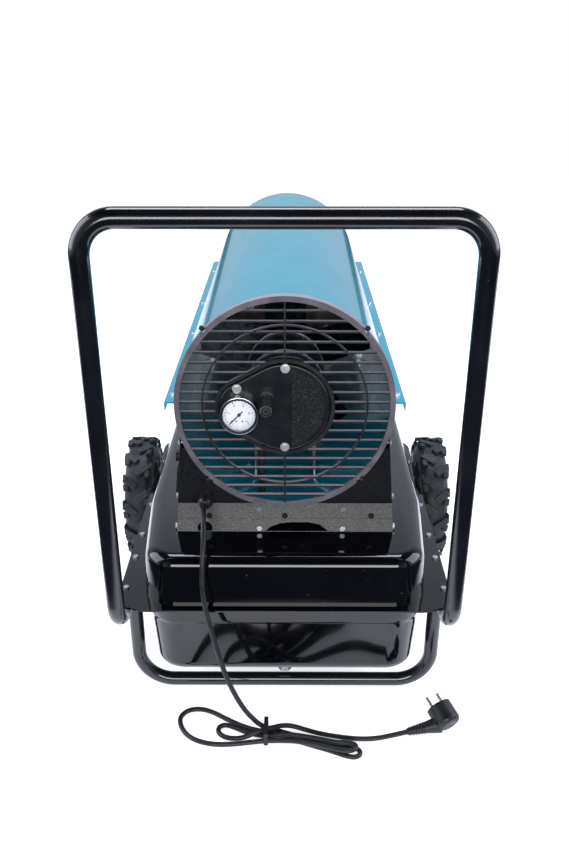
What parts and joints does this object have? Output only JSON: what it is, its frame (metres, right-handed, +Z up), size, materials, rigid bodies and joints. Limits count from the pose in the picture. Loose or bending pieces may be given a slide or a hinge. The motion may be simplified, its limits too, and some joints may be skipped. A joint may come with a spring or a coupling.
{
  "type": "forced air heater",
  "caption": "Portable oil-fired hot air blower: a cylindrical casing on a fuel tank, carried by a two-wheeled tube frame with a handle.",
  "frame": {"origin": "on the floor, below the middle of the heater's box without its lead", "axes": "+Z up; +Y towards the hot air outlet; +X to the right of someone behind the handle"},
  "size_m": [0.606, 1.175, 0.7425],
  "materials": {
    "casing_paint": "gloss stoved enamel, teal",
    "black_gloss_paint": "gloss stoved enamel, black",
    "black_wrinkle_paint": "fine wrinkle powder coat, black",
    "black_moulding": "moulded, satin",
    "black_cast_cover": "semi-gloss paint over a die casting",
    "tyre_rubber": "moulded tread rubber",
    "rim_moulding": "moulded",
    "zinc_steel": "bright zinc plating",
    "heat_steel": "heat-resisting sheet steel",
    "cast_aluminium": "die cast",
    "brass_parts": "turned",
    "filter_foam": "open-cell foam",
    "dial_white": "printed dial",
    "needle_black": "painted",
    "lead_rubber": "rubber sheath",
    "nylon_black": "moulded nylon",
    "switch_red": "moulded, gloss",
    "lamp_amber": "translucent, gloss",
    "board_green": "solder mask",
    "grey_moulding": "moulded",
    "ceramic_white": "glazed insulator"
  },
  "bodies": {
    "root": {"air_hose": "lead_rubber", "axle": "zinc_steel", "axle_brackets": "black_gloss_paint", "base_tray": "black_wrinkle_paint", "burner_head": "brass_parts", "casing_screws": "zinc_steel", "combustion_chamber": "heat_steel", "control_bezel": "black_moulding", "control_board": "board_green", "cord_drop": "lead_rubber", "cord_hank": "lead_rubber", "cord_tail": "lead_rubber", "cord_tie": "nylon_black", "cover_screws": "zinc_steel", "drain_plug": "zinc_steel", "fan_guard": "black_moulding", "filler_neck": "zinc_steel", "filler_strainer": "zinc_steel", "flame_deflector": "heat_steel", "flange_screws": "zinc_steel", "front_panel": "black_wrinkle_paint", "front_saddle": "black_wrinkle_paint", "fuel_gauge_body": "nylon_black", "fuel_line": "lead_rubber", "gauge_case": "black_gloss_paint", "gauge_dial": "dial_white", "gland_body": "nylon_black", "gland_nut": "nylon_black", "handle_frame": "black_gloss_paint", "igniter": "ceramic_white", "ignition_unit": "grey_moulding", "indicator_lamp": "lamp_amber", "inlet_filter": "filter_foam", "lower_shell": "casing_paint", "motor": "cast_aluminium", "motor_bracket": "zinc_steel", "plug": "lead_rubber", "pump_end_cover": "black_cast_cover", "pump_housing": "cast_aluminium", "rear_panel": "black_wrinkle_paint", "rear_stand": "black_gloss_paint", "side_panel_left": "black_wrinkle_paint", "side_panel_right": "black_wrinkle_paint", "tank_lower": "black_gloss_paint", "tank_upper": "black_gloss_paint", "upper_shell": "casing_paint", "wheel_retainers": "zinc_steel"},
    "fan_rotor": {"fan": "cast_aluminium", "rotor_shaft": "zinc_steel"},
    "wheel_left": {"tyre_left": "tyre_rubber", "rim_left": "rim_moulding"},
    "wheel_right": {"tyre_right": "tyre_rubber", "rim_right": "rim_moulding"},
    "pressure_needle": {"gauge_needle": "needle_black"},
    "pressure_screw": {"adjusting_screw": "nylon_black"},
    "thermostat": {"thermostat_knob": "nylon_black"},
    "rocker": {"power_switch": "switch_red"},
    "filler": {"filler_cap": "nylon_black"},
    "float": {"float_arm": "grey_moulding"},
    "level_needle": {"fuel_gauge_needle": "switch_red"}
  },
  "joints": [
    {"name": "fan_spin", "type": "hinge", "parent": "root", "child": "fan_rotor", "pos_m": [0, -0.3, 0.4588], "axis": [0, 1, 0], "continuous": true},
    {"name": "wheel_left_spin", "type": "hinge", "parent": "root", "child": "wheel_left", "pos_m": [-0.278, 0, 0.1175], "axis": [1, 0, 0], "continuous": true},
    {"name": "wheel_right_spin", "type": "hinge", "parent": "root", "child": "wheel_right", "pos_m": [0.278, 0, 0.1175], "axis": [1, 0, 0], "continuous": true},
    {"name": "pressure_needle_turn", "type": "hinge", "parent": "root", "child": "pressure_needle", "pos_m": [-0.063, -0.4355, 0.4538], "axis": [0, 1, 0], "range_deg": [0, 270]},
    {"name": "pressure_screw_turn", "type": "hinge", "parent": "root", "child": "pressure_screw", "pos_m": [-0.025, -0.44, 0.4688], "axis": [0, 1, 0], "range_deg": [-360, 360]},
    {"name": "thermostat_turn", "type": "hinge", "parent": "root", "child": "thermostat", "pos_m": [-0.16053, -0.302, 0.33443], "axis": [-0.9963, 0, 0.0859], "range_deg": [0, 270]},
    {"name": "rocker_tilt", "type": "hinge", "parent": "root", "child": "rocker", "pos_m": [-0.16053, -0.374, 0.33443], "axis": [0.0859, 0, 0.9963], "range_deg": [-6, 6]},
    {"name": "filler_cap_turn", "type": "hinge", "parent": "root", "child": "filler", "pos_m": [0.135, 0.02, 0.27], "axis": [0, 0, 1], "range_deg": [0, 90]},
    {"name": "float_lift", "type": "hinge", "parent": "root", "child": "float", "pos_m": [-0.135, 0.02, 0.2355], "axis": [1, 0, 0], "range_deg": [-68, 0]},
    {"name": "level_needle_turn", "type": "hinge", "parent": "root", "child": "level_needle", "pos_m": [-0.135, 0.02, 0.266], "axis": [0, 0, 1], "range_deg": [0, 102]}
  ],
  "couplings": [
    {"joint": "level_needle_turn", "follows": "float_lift", "ratio": -1.5}
  ]
}
